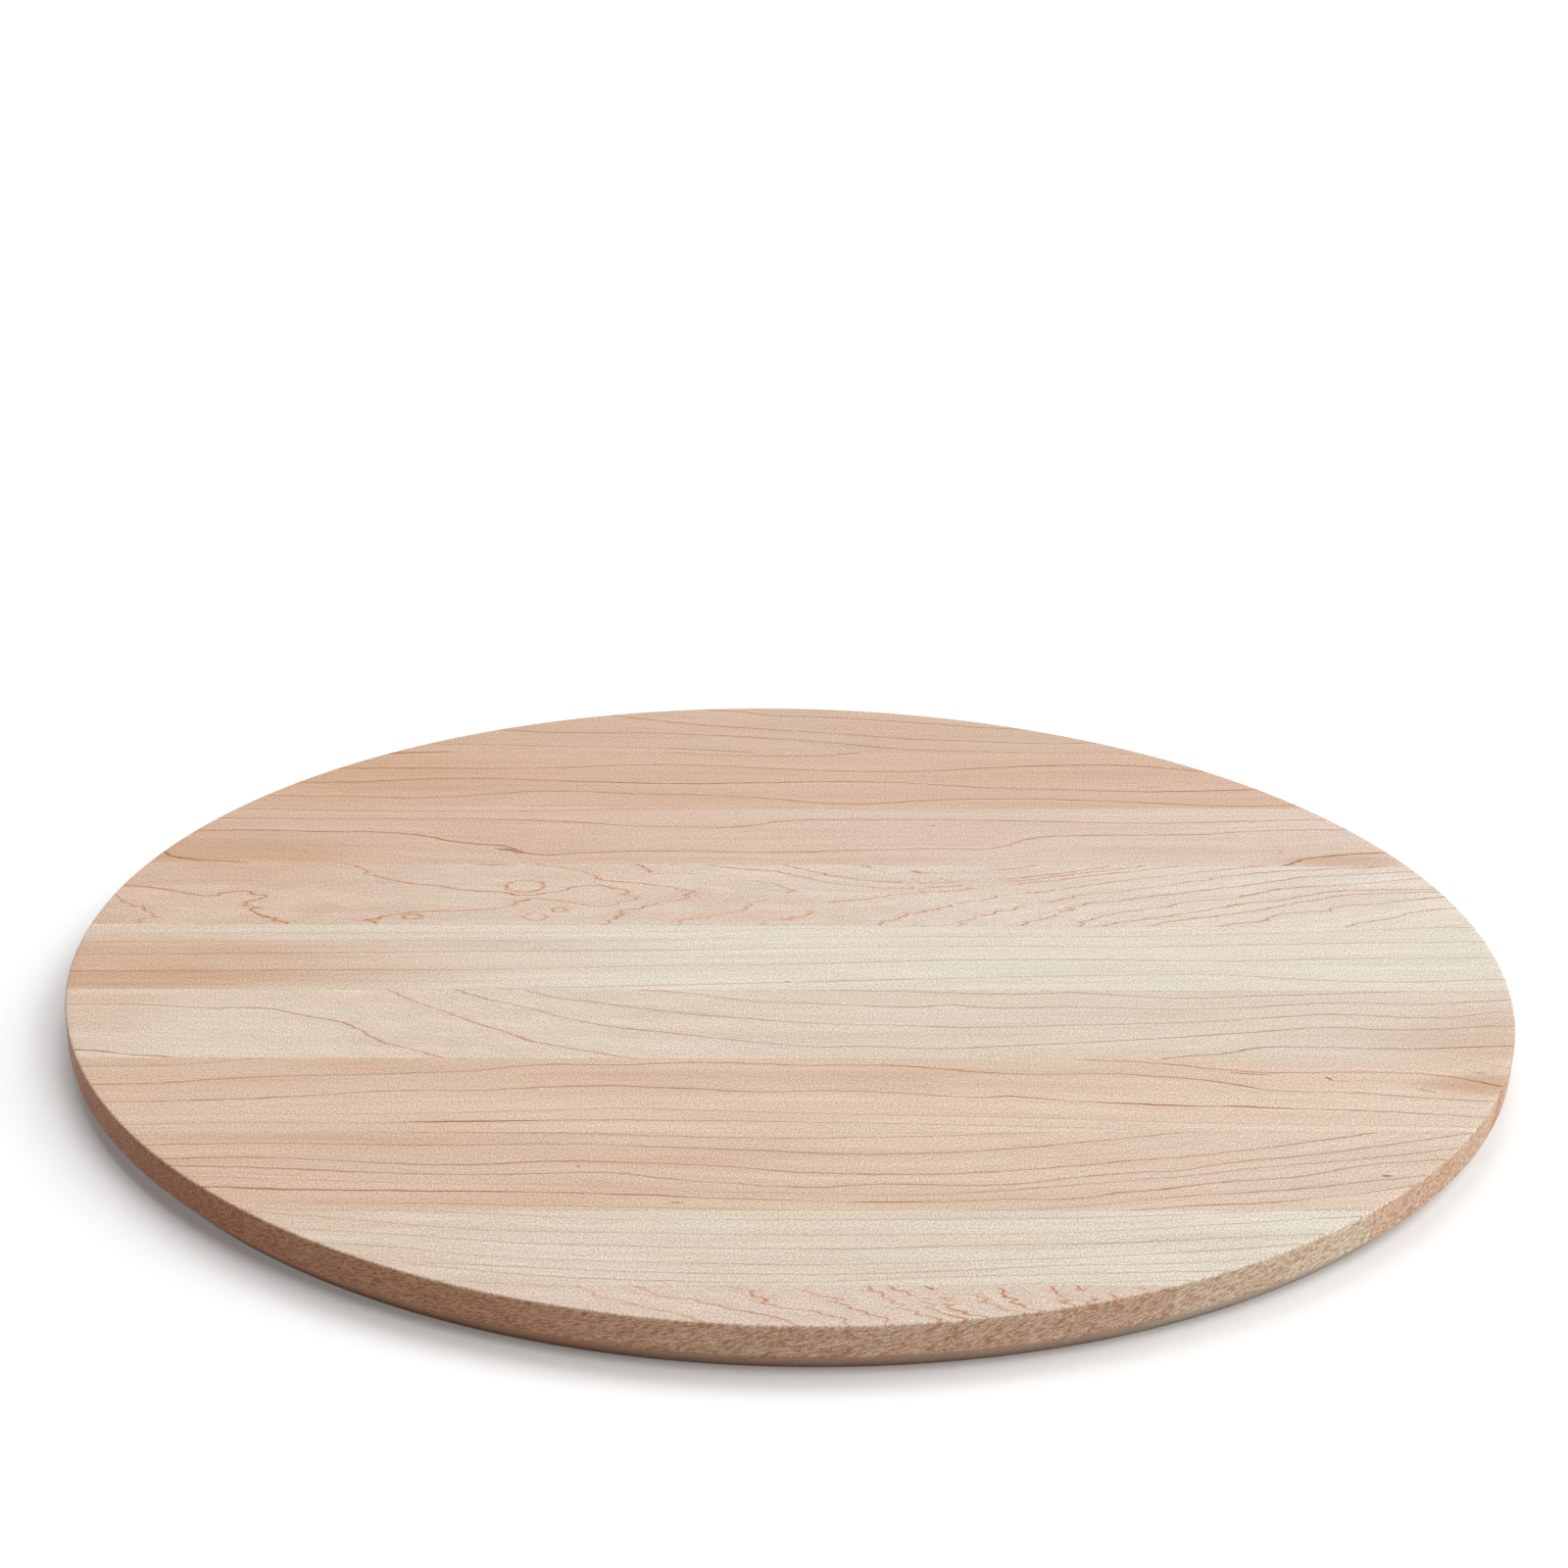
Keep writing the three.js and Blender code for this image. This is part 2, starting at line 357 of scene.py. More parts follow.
curl_rings = [
    [(-64, 95), (-60, 91), (-55, 87), (-48, 83.5), (-32, 83), (-25, 80), (-15, 78.5), (-8, 76), (-1, 72.5),
     (3, 69),
     (-2, 65), (-8, 60.5), (-13, 54), (-21, 48.5), (-29, 45.3), (-36, 42), (-39, 36)],
    [(-90, 96), (-86, 92), (-82, 87), (-80, 83), (-73, 78.5), (-62, 76.5), (-43, 72.5), (-36, 70),
     (-32.5, 66), (-35, 62),
     (-42, 58), (-50, 53.5), (-66, 47.5), (-73, 43.5), (-78, 36)],
    [(-157, 95), (-153, 91), (-148, 87), (-144, 81), (-137, 77), (-131, 74), (-120, 71.5), (-110, 68, 1.3),
     (-97, 66, 1.3),
     (-90, 63.8, 1.3), (-80, 66.5), (-72, 71), (-64, 72.5), (-57, 69), (-54, 63), (-57, 57), (-64, 54.5),
     (-72, 57),
     (-80, 60), (-89, 60.5, 1.3), (-94, 55), (-100, 52.5), (-125, 49.5), (-135, 47, 1.4), (-140, 44, 1.6),
     (-141, 36)],
    [(-229, 71.5, 1.4), (-222, 70.5, 1.4), (-208, 65.5, 1.4), (-198, 62.5, 1.4), (-190, 66.5, 1.4),
     (-183, 65, 1.4),
     (-182, 61, 1.3), (-185, 56, 1.3), (-182, 50, 1.4), (-178, 45, 1.6), (-172, 42, 1.6), (-171, 36)],
    [(-231, 61, 1.4), (-225, 56, 1.4), (-219, 50, 1.4), (-216, 46, 1.4), (-221, 41, 1.4), (-223, 36)],
]
# The points' first ring is the one that also climbs on the right, so the two groups meet round a saddle
CURL_FIRST_RING = 3
# Small closed rings: where each is, and half its length and height, in millimetres
curl_eyes = [(-90, 71.5, 7, 4.8), (-78, 51.5, 2.6, 1.9), (-86, 45.4, 4.2, 3), (-128, 45.4, 3.2, 1.8)]
print(f"{len(rings['stave_3']) + len(curl_rings)} lines and {len(curl_eyes)} eyes in the curly stave")

# %% Rings of the staves at the front
rings["stave_6"] = [
    [(-225, -71, 0.8), (-205, -70.3, 0.9), (-192, -69.1, 0.9), (-180, -66.5, 0.9), (-172, -65), (-120, -58),
     (-40, -54),
     (40, -58), (100, -66), (115, -67.6), (135, -72.2), (150, -74.5), (172, -74.1), (190, -74.3), (208, -77),
     (221, -82.7, 1.6)],
    [(-222, -84), (-206, -83.3), (-174, -78.8), (-135, -76.5), (-100, -73), (-84, -69.8), (-55, -69.5),
     (-37, -67.8),
     (0, -69.5), (32, -69.9, 1.2), (61, -74.9, 1.4), (80, -76.2), (93, -75.1), (114, -77.2),
     (132, -80.7, 1.2),
     (148, -86.7, 1.2), (176, -89), (203, -93.2), (219, -95)],
    [(-214, -96.5), (-185, -94.9), (-153, -91.5), (-135, -88.8), (-100, -87.8), (-77, -85.3), (-62, -84.6),
     (-38, -86.4),
     (-11, -88.8), (11, -88), (35, -90.1), (58, -92.6), (66, -91.6, 1.5), (76, -93.6, 1.5), (85, -95),
     (95, -95.9, 1.2),
     (100, -96.4, 1.6), (124, -98.5, 1.6), (131, -98.8, 1), (137, -98.6, 1.5), (149, -99.9, 1.5),
     (154, -100.2), (175, -101.5),
     (216, -106.4)],
    [(-214, -105.3, 0.5), (-180, -104.6, 0.5), (-130, -104.6, 0.5), (-79, -101.7, 0.6), (-60, -100.5, 0.6),
     (-35, -101.7, 0.6), (0, -103.9, 0.5), (50, -105.7, 0.5), (120, -109.8, 0.4), (205, -113, 0.4)],
    [(-208, -112.2, 0.7), (-175, -110.7, 0.7), (-132, -110.9, 0.7), (-112, -109.9, 1.6), (-98, -109.7, 1.6),
     (-85, -109.1, 1.2), (-60, -108.8), (0, -110, 0.7), (60, -112.5, 0.6), (120, -116, 0.5)],
]
rings["stave_7"] = [
    [(-100, -117.5, 0.8), (-68, -118.2, 0.8), (-42, -119.8, 0.8), (-19, -121, 0.8), (5, -121, 0.8),
     (40, -119.7, 0.8), (74, -117)],
    [(-202, -126), (-172, -124.8), (-140, -125.5), (-105, -126), (-80, -125), (-46, -127.1), (-11, -129.7),
     (10, -131.6),
     (45, -130.6), (71, -126.8), (93, -122.3), (119, -117)],
    [(-195, -135), (-168, -134.5), (-145, -136.4), (-116, -139.2, 1.2), (-100, -139, 1.2), (-82, -136.9, 1.2),
     (-50, -138),
     (-28, -139.8), (-3, -144, 1.2), (20, -145.3, 1.2), (45, -145, 1.2), (75, -141), (100, -136.3),
     (122, -132.4),
     (151, -125.2), (178, -117.3)],
    [(-192, -140, 1.2), (-166, -141.3, 1.2), (-140, -143.7, 1.2), (-106, -145.6), (-85, -145.2),
     (-58, -144.6), (-46, -147.7),
     (-25, -151.3), (0, -154, 1.2), (20, -152), (50, -152.6), (63, -151.9), (80, -147.7), (100, -144.2),
     (116, -142.4),
     (124, -139.4), (156, -132.3), (188, -123.4), (207, -118)],
    [(-184, -147, 0.6), (-148, -149.3, 0.6), (-115, -151.5, 0.5), (-80, -152.3, 0.4), (-40, -156, 0.4),
     (0, -158, 0.5),
     (40, -158.6, 0.6), (60, -156, 0.7), (85, -151.6, 0.7), (98, -149.4, 0.8), (118, -146, 0.8),
     (135, -141.9, 0.9),
     (171, -135.2, 0.9), (203, -127.4, 0.9)],
    [(-181, -154, 1.2), (-164, -155.1, 1.6), (-160, -155.3, 1.6), (-116, -156.5, 1.6), (-93, -156.9, 1.5),
     (-80, -157.3, 1.2),
     (-60, -158.3, 1.2), (-54, -158.8, 1.7), (-45, -159.3, 1.6), (-38, -160.3), (-16, -161.8), (12, -163.5),
     (15, -163.5, 1.5),
     (32, -163.4, 1.5), (38, -163.2), (60, -161.8), (85, -160.4), (92, -158), (109, -155, 1.2),
     (118, -152.3, 1.2),
     (156, -145.2), (168, -140.5), (178, -138), (198, -135.2)],
    [(-170, -163, 0.5), (-100, -165, 0.5), (-40, -167.5, 0.6), (20, -169.5, 0.5), (80, -166.5, 0.6),
     (111, -160.3, 0.9),
     (150, -154.8), (169, -150.5), (190, -146)],
    [(90, -170, 0.6), (120, -165.5, 1.3), (138, -164, 1.3), (152, -161.5, 0.8), (173, -156.5, 0.8),
     (184, -153, 0.8)],
]
rings["ripped_stave"] = [
    [(-120, -169, 0.7), (-90, -171.8, 0.7), (-67, -174.3, 0.7), (-40, -174.8, 0.7), (5, -175.1, 0.7),
     (60, -174.1, 0.7),
     (92, -173.1, 0.7), (129, -170, 0.7), (150, -168)],
    [(-150, -172.6, 0.7), (-127, -176.7, 0.7), (-97, -181.5, 0.7), (-60, -183, 0.7), (-10, -184.6, 0.7),
     (30, -184.4, 0.7),
     (85, -182.5, 0.7), (118, -178.5, 0.7), (148, -174.7, 0.7), (166, -172.8)],
    [(-150, -181.2, 0.8), (-122, -184.4, 0.8), (-95, -188.8, 0.8), (-60, -191.2, 0.9), (-19, -193.2),
     (10, -193.3),
     (40, -191.7), (80, -190.2), (114, -187.6), (131, -185.5), (150, -184.3)],
    [(-138, -190.4, 0.8), (-120, -193, 0.8), (-100, -197.2, 0.8), (-80, -199.4, 0.8), (-50, -201.2, 0.8),
     (0, -203.2, 0.8),
     (40, -201, 0.8), (85, -198.3, 0.8), (118, -194.4, 0.8), (142, -190.9, 0.8)],
    [(-119, -201.2, 0.8), (-95, -203.6, 0.8), (-60, -207, 0.8), (-20, -208.6, 0.8), (0, -209, 0.7),
     (50, -205.9, 0.7),
     (68, -204.1, 0.7), (118, -201.4, 0.6), (130, -199.8, 0.6)],
    [(-104, -205.4, 0.8), (-84, -209.4, 0.8), (-60, -211.8, 0.8), (0, -213.5, 0.7), (43, -210.2, 0.7),
     (68, -209.1, 0.7), (116, -207)],
    [(-105, -213, 0.7), (-84, -215.3, 0.7), (-40, -217.5, 0.7), (40, -216.5, 0.7), (64, -214.5, 0.7),
     (95, -213.2, 0.7)],
]
# The front stave's lines cross it, so they are drawn from the rim up to the joint, from left to right
rings["front_stave"] = [
    [(-40, -234, 0.6), (-52, -228, 0.6), (-64, -222, 0.6), (-72, -216, 0.6), (-80, -213, 0.6)],
    [(-2, -241), (-9, -237), (-19, -232.5), (-30, -227.7), (-37, -224.5), (-48, -221.3), (-54.5, -216.4),
     (-58, -213)],
    [(13, -242), (9.5, -239.2), (4.7, -235.1), (0, -232.5), (-6, -230), (-13, -228.5), (-17.6, -223.7, 1.3),
     (-21.6, -219.6, 1.3),
     (-27, -215.6), (-31, -213)],
    [(24, -242), (20.8, -238.4), (12.7, -231.9), (6.3, -226.6), (2, -223), (-3, -220.5), (-10, -215.6),
     (-13, -213)],
    [(38, -240), (33.7, -236.4), (25.6, -231.1), (20.8, -225.5), (17.6, -221.4), (12.7, -216.6), (11, -213)],
    [(46, -239), (41.8, -235.9), (33.7, -231.9), (29.7, -224.6), (25.6, -220.6), (19.2, -216.6), (17, -213)],
    [(54, -237), (46.6, -234.3), (39.4, -231.1, 1.4), (36.1, -226.3, 1.4), (33.7, -221.4, 1.4),
     (29.7, -216.6, 1.4), (28, -213)],
    [(60, -233), (52, -229), (48.2, -226.3), (45, -221.4), (41, -217), (38, -213)],
    [(64, -233), (60, -229, 1.3), (57.1, -226.3, 1.4), (54.7, -223.8, 1.4), (51.5, -219.8, 1.4),
     (50.6, -216.6, 1.3), (50, -213)],
    [(74, -232), (72.5, -227.4), (70.8, -223), (67.6, -219.8), (66, -216.6), (65, -213)],
    [(80, -230), (79, -225.5), (77.3, -220.6), (74, -216.6), (73, -213)],
    [(87, -226), (85.3, -222.2), (82, -216.6), (81, -213)],
    [(104, -222), (98, -219.5), (92, -216.6), (89, -213)],
]
print(f"{sum(len(lines) for lines in rings.values()) + len(curl_rings)} ring lines in all")

# %% [markdown]
# ## From lines to a ring number
#
# A material can't read a list of curves, but it can read a number at each point of a mesh. So each point
# gets its ring number: whole on a drawn line, and in between by its distance from the lines on either
# side. Rings also run down into the wood at a slant, so a point below the top face is first carried up
# along that slant. That way the lines on the face, on the rim and on the underside belong together.

# %% Smooth curves through the drawn points
# Millimetres between the points of a curve, and how far its straight tails run on past the board
CURVE_STEP = 2.5
CURVE_TAIL = 400


def smooth_curve(points, step=CURVE_STEP):
    """Close points along a smooth curve through the drawn ones: x, y and darkness, with straight tails."""
    drawn = np.array([(*point, 1.0)[:3] for point in points], float)
    spans = np.hypot(*np.diff(drawn[:, :2], axis=0).T)
    place = np.concatenate([[0], np.cumsum(spans)])
    slope = np.gradient(drawn, place, axis=0)
    wanted = np.linspace(0, place[-1], math.ceil(place[-1] / step) + 1)
    span = np.clip(np.searchsorted(place, wanted, side="right") - 1, 0, len(spans) - 1)
    length = spans[span][:, None]
    share = ((wanted - place[span]) / spans[span])[:, None]
    start_weight = (1 + 2 * share) * (1 - share) ** 2
    end_weight = share**2 * (3 - 2 * share)
    start_pull = length * share * (1 - share) ** 2 * slope[span]
    end_pull = length * share**2 * (share - 1) * slope[span + 1]
    curve = start_weight * drawn[span] + end_weight * drawn[span + 1] + start_pull + end_pull
    straight = np.array([1, 1, 0])
    first = curve[0] - CURVE_TAIL * slope[0] * straight
    last = curve[-1] + CURVE_TAIL * slope[-1] * straight
    return np.vstack([first, curve, last])


print(f"{len(smooth_curve(rings['stave_1'][0]))} points along the first line of stave_1")

# %% [markdown]
# Where fibres curl, a ring line that crosses the grain doesn't run straight: it steps along the grain from
# one bundle of fibres to the next, like the teeth of a saw. Each bundle gets its own step, drawn once by a
# random generator with a fixed seed, and a line takes as much of the step as it crosses the grain.

# %% Lines that step along the grain
# Millimetres: the width of a bundle, and the points' spacing, fine enough to follow its steps
BUNDLE_WIDTH = 1.7
JAGGED_CURVE_STEP = 0.8
bundle_steps = np.random.default_rng(3).uniform(-1, 1, 400)


def jagged_curve(points, reach):
    """A smooth curve through the drawn points that steps along the grain wherever it crosses it."""
    curve = smooth_curve(points, JAGGED_CURVE_STEP)
    run = np.gradient(curve[:, :2], axis=0)
    crossing = np.abs(run[:, 1]) / np.hypot(run[:, 0], run[:, 1])
    bundle = curve[:, 1] / BUNDLE_WIDTH + len(bundle_steps) / 2
    curve[:, 0] += reach * crossing * np.interp(bundle, range(len(bundle_steps)), bundle_steps)
    return curve


print(f"{len(jagged_curve(rings['front_stave'][1], 3))} points along a jagged line")

# %% Distance of points from one curve
def distance_past(places, curve):
    """How far each place lies past the curve, on the right of its run, and the darkness of the line there."""
    start = curve[:-1, :2]
    run = np.diff(curve[:, :2], axis=0)
    offset_x = places[:, :1] - start[:, 0]
    offset_y = places[:, 1:] - start[:, 1]
    share = np.clip((offset_x * run[:, 0] + offset_y * run[:, 1]) / (run**2).sum(axis=1), 0, 1)
    offset_x = offset_x - share * run[:, 0]
    offset_y = offset_y - share * run[:, 1]
    squared = offset_x**2 + offset_y**2
    nearest = squared.argmin(axis=1)
    row = np.arange(len(places))
    turn = run[nearest, 0] * offset_y[row, nearest] - run[nearest, 1] * offset_x[row, nearest]
    distance = np.sqrt(squared[row, nearest])
    ink = curve[nearest, 2] + share[row, nearest] * (curve[nearest + 1, 2] - curve[nearest, 2])
    return np.where(turn < 0, distance, -distance), ink


print(distance_past(np.array([[0.0, 190.0]]), smooth_curve(rings["stave_1"][0])))

# %% [markdown]
# Close to a line the ring number changes by one over a fixed distance, whatever the ring's own width, so
# the material can turn it straight back into millimetres and every line comes out equally crisp. What is
# left of the step is made up half way to the next line, where nothing is drawn. A second number, the band,
# is spread evenly over each ring, for the streaks that follow it.

# %% Ring number, band and darkness
# Millimetres over which the number changes by one near a line, and how much of a ring counts as near
LINE_SCALE = 14
NEAR_LINE = 0.45
OUTER_RING_INK = 0.5
LEAST_GAP = 1e-6


def ring_fields(places, lines, outer_width=LINE_SCALE, jag_reach=0):
    """Each place's ring number, its even band number, and the darkness of the nearer line."""
    curves = [jagged_curve(line, jag_reach) if jag_reach else smooth_curve(line) for line in lines]
    measured = [distance_past(places, curve) for curve in curves]
    past = np.array([distance for distance, ink in measured])
    inks = np.array([ink for distance, ink in measured])
    row = np.arange(len(places))
    count = (past > 0).sum(axis=0)
    before = np.clip(count - 1, 0, len(lines) - 1)
    after = np.clip(count, 0, len(lines) - 1)
    from_before = np.abs(past[before, row])
    to_after = np.abs(past[after, row])
    inside = (count > 0) & (count < len(lines))
    gap = from_before + to_after
    near = NEAR_LINE * np.minimum(gap, LINE_SCALE)
    middle = np.clip((from_before - near) / np.maximum(gap - 2 * near, LEAST_GAP), 0, 1)
    share = near / LINE_SCALE + (1 - 2 * near / LINE_SCALE) * middle
    share = np.where(from_before < near, from_before / LINE_SCALE, share)
    share = np.where(to_after < near, 1 - to_after / LINE_SCALE, share)
    outer = np.where(count == 0, -to_after / outer_width, len(lines) - 1 + from_before / outer_width)
    number = np.where(inside, count - 1 + share, outer)
    band = np.where(inside, count - 1 + from_before / np.maximum(gap, LEAST_GAP), outer)
    ink = np.where(from_before < to_after, inks[before, row], inks[after, row])
    drawn = (number > -0.5) & (number < len(lines) - 0.5)
    return number, band, np.where(drawn, ink, OUTER_RING_INK)


print(ring_fields(np.array([[0.0, 170.0]]), rings["stave_1"]))

# %% Fields of the curly stave
# Millimetres: over which the number drops by one outside the nested points, and a line's longest step
CURL_EDGE_WIDTH = 5
CURL_JAG_REACH = 3.5


def curly_ring_fields(places):
    """The curly stave's fields: the long lines, the nested points that rise to their left, and the eyes."""
    number, band, ink = ring_fields(places, rings["stave_3"], jag_reach=CURL_JAG_REACH)
    curl_number, curl_band, curl_ink = ring_fields(places, curl_rings, CURL_EDGE_WIDTH, CURL_JAG_REACH)
    curled = curl_number + CURL_FIRST_RING > number
    number = np.where(curled, curl_number + CURL_FIRST_RING, number)
    band = np.where(curled, curl_band + CURL_FIRST_RING, band)
    ink = np.where(curled, curl_ink, ink)
    for eye_x, eye_y, half_length, half_height in curl_eyes:
        out = np.hypot((places[:, 0] - eye_x) / half_length, (places[:, 1] - eye_y) / half_height)
        level = np.ceil(number[out.argmin()])
        eye_number = level + (1 - out) * half_height / LINE_SCALE
        risen = eye_number > number
        number = np.where(risen, eye_number, number)
        ink = np.where(risen, 1, ink)
    return number, band, ink


def stave_ring_fields(name, places):
    """The ring number, band and darkness of one stave at each place."""
    if name == "stave_3":
        return curly_ring_fields(places)
    jag_reach = CURL_JAG_REACH if name in FIGURED else 0
    return ring_fields(places, rings[name], jag_reach=jag_reach)


print(f"{len(curl_eyes)} eyes and {len(curl_rings)} points")

# %% [markdown]
# ## Brown patches, painted shade and the slant of the rings
#
# Maple goes browner where a board runs into heartwood, and several staves have a browner patch: a soft
# ellipse, with where it is, how far it reaches each way, and how strong it is. Every stave is also a little
# browner towards its left end, each by its own amount: partly its own tone, and partly painted shade for
# light that falls off towards the left. The slant is how many millimetres a ring moves across the stave for
# each millimetre of depth. The rim gets painted shade towards the front and left, in a darker, warmer
# tint, by the angle round the board, where the photograph shows it dark.

# %% Patches and slants
# How much browner each stave is towards its left end: partly its own tone, partly painted shade
USUAL_LEFT_WARMTH_AND_SHADE = 0.7
LEFT_WARMTH_AND_SHADE = {
    "back_stave": 0.2, "stave_1": 0.45, "stave_2": 0.75, "stave_3": 0.7, "stave_4": 0.1, "stave_5": 0.15,
    "stave_6": 0.5, "ripped_stave": 0.6, "front_stave": 0.2,
}
patches = {
    "back_stave": [(-110, 210, 60, 30, 0.2)],
    "stave_1": [(-150, 178, 60, 30, 0.4)],
    "stave_2": [(-195, 103, 50, 14, 0.3), (200, 95, 22, 7, 0.5)],
    "stave_4": [(-240, 2, 120, 24, 0.5), (-240, 13, 180, 40, 0.3)],
    "stave_5": [(238, -50, 45, 20, 0.4), (-235, -30, 30, 30, 0.2)],
    "stave_6": [(224, -84, 26, 8, 0.7), (0, -76, 300, 16, 0.2)],
}
ring_slant = {
    "back_stave": 1.6, "stave_1": 1.8, "stave_2": 2.4, "stave_3": 2, "stave_4": 2.2, "stave_5": 1.5,
    "stave_6": 0.9, "stave_7": 0.8, "ripped_stave": 1.8, "front_stave": 1.4,
}
# How much painted shade darkens the rim's face and its chamfer, by degrees from the front, left below nought
PAINTED_SHADE_ANGLES = (-180, -110, -70, -25, -10, 5, 25, 40, 180)
PAINTED_SHADE_ON_FACE = (0.3, 0.7, 1, 0.85, 0.35, 0.1, 0.2, 0, 0.3)
PAINTED_SHADE_ON_CHAMFER = (0.3, 0.7, 1, 1, 0.65, 0.4, 0.1, 0, 0.3)


def warmth_and_painted_shade(name, places):
    """How warm the wood is at each place, from 0: its patches, and a ramp to the left end, partly painted
    shade.
    """
    warmth_and_shade = LEFT_WARMTH_AND_SHADE.get(name, USUAL_LEFT_WARMTH_AND_SHADE) * (0.5 - places[:, 0] * MM / (2 * RADIUS))
    for patch_x, patch_y, reach_x, reach_y, strength in patches.get(name, []):
        out = np.hypot((places[:, 0] - patch_x) / reach_x, (places[:, 1] - patch_y) / reach_y)
        warmth_and_shade += strength * np.exp(-(out**4))
    return warmth_and_shade


def painted_rim_shade(x, y, z):
    """How much painted shade darkens the rim at each place, from 0 to 1, by the angle from the front."""
    angle = np.degrees(np.arctan2(x, -y))
    face = np.interp(angle, PAINTED_SHADE_ANGLES, PAINTED_SHADE_ON_FACE)
    chamfer = np.interp(angle, PAINTED_SHADE_ANGLES, PAINTED_SHADE_ON_CHAMFER)
    return np.where(z * MM < CHAMFER, chamfer, face)


# %% Write the fields on the meshes
# Staves are cut from different boards, so each reads its patterns at another place along the grain
BOARD_SHIFT = 1000
# The marks on the rim rise a little to the right
RIM_MARK_RISE = 0.3
# Millimetres to either side at which a ring's change along the grain is measured
RUN_STEP = 0.5
CHAMFER_FOOT = (RADIUS - RIM_LEAN - CHAMFER) / MM

for order, (name, piece) in enumerate(visual_staves.items()):
    mesh = piece.data
    places = np.empty(len(mesh.vertices) * 3, np.float32)
    mesh.vertices.foreach_get("co", places)
    x, y, z = places.reshape(-1, 3).T.astype(float) / MM
    depth = THICKNESS / MM - z
    across = y + ring_slant[name] * depth
    drawn_places = np.column_stack([x, across])
    number, band, ink = stave_ring_fields(name, drawn_places)
    ahead = stave_ring_fields(name, drawn_places + (RUN_STEP, 0))[0]
    behind = stave_ring_fields(name, drawn_places - (RUN_STEP, 0))[0]
    run = (ahead - behind) / (2 * RUN_STEP)
    out = np.hypot(x, y)
    rim = np.clip(depth * MM / TOP_EASE, 0, 1) * (out > CHAMFER_FOOT - CLOSED_GAP / MM)
    fields = {
        "ring": number,
        "band": band,
        "ring_ink": ink,
        "ring_run": np.clip(run, -1 / LINE_SCALE, 1 / LINE_SCALE),
        "warmth_and_shade": warmth_and_painted_shade(name, drawn_places),
        "rim": rim,
        "rim_face": rim * (z * MM > CHAMFER - CORNER_EASE),
        "painted_rim_shade": rim * painted_rim_shade(x, y, z),
    }
    for field, values in fields.items():
        layer = mesh.attributes.new(field, "FLOAT", "POINT")
        layer.data.foreach_set("value", np.ascontiguousarray(values, np.float32))
    shifted = x + order * BOARD_SHIFT
    grain = np.column_stack([shifted, across, depth])
    rim_place = np.column_stack([shifted, depth + RIM_MARK_RISE * x, y])
    for field, values in {"grain": grain, "rim_place": rim_place}.items():
        layer = mesh.attributes.new(field, "FLOAT_VECTOR", "POINT")
        layer.data.foreach_set("vector", values.astype(np.float32).ravel())
    print(f"{name}: rings {number.min():.1f} to {number.max():.1f}")

# %% [markdown]
# ## Adding nodes
#
# Every material below is a net of nodes. One small function adds a node, sets its options, fills its
# inputs, each with a value or with the output of another node, and gives back one output. Colours are
# written as sRGB hex values, as a paint program shows them, and one function turns them into the linear
# values that Blender works in.

# %% Node and colour helpers
def node(tree, kind, inputs, output=0, **options):
    """Adds a node and gives back one of its outputs. Inputs are a list in order, or a dict by socket."""
    added = tree.nodes.new(f"ShaderNode{kind}")
    for option, value in options.items():
        setattr(added, option, value)
    named = inputs if isinstance(inputs, dict) else dict(enumerate(inputs))
    for socket, value in named.items():
        if isinstance(value, bpy.types.NodeSocket):
            tree.links.new(value, added.inputs[socket])
        else:
            added.inputs[socket].default_value = value
    return added.outputs[output] if added.outputs else None


def linear(hex_colour):
    """An sRGB hex colour as linear red, green, blue and full alpha."""
    channels = [int(hex_colour[place : place + 2], 16) / 255 for place in (1, 3, 5)]
    return [c / 12.92 if c <= 0.04045 else ((c + 0.055) / 1.055) ** 2.4 for c in channels] + [1]


def new_material(name):
    """An empty material and its node tree."""
    material = bpy.data.materials.new(name)
    material.use_nodes = True
    material.node_tree.nodes.clear()
    return material, material.node_tree


def pattern_scale(size):
    """Turns the size of a pattern into the factor that its coordinates, in the same unit, need."""
    return tuple(1 / length for length in size)


# Nearly all values of a noise texture lie in this range
NOISE_RANGE = (0.3, 0.7)

print(linear("#d6b8a1"), pattern_scale((9, 3.5, 3.5)))

# %% [markdown]
# ## Oiled maple
#
# Hard maple is pale, close and even: fine fibres, pores too small to see one by one, and thin brown ring
# lines. It was planed, sanded and thinly oiled, which leaves a satin surface with no film on it. Each
# stave's material starts from its own tone. The ring lines come first, from the fields on its mesh. They
# wander a little at a finer scale than they were drawn, and they fade and darken along their length. Where
# a line crosses the grain it steps from fibre to fibre, so it is jagged there and smooth elsewhere.

# %% Ring lines of the maple
# Millimetres. The size of a pattern is three lengths: along the grain, across it, and down into the wood
LINE_CORE = 0.1
JAG_SIZE = (7, 1.8, 1.8)
FADE_SIZE = (50, 8, 8)
SMUDGE_REACH = 3.5
SMUDGE_SIZE = (9, 0.9, 0.9)
# How much of a line's width goes with its darkness, and how faint and how dark it gets along its length
INK_WIDENS = 0.2
FADE_RANGE = (0.65, 1.1)
# The values of a noise texture over which a line fades and over which a smudge comes in
FADE_NOISE = (0.35, 0.62)
SMUDGE_NOISE = (0.45, 0.65)


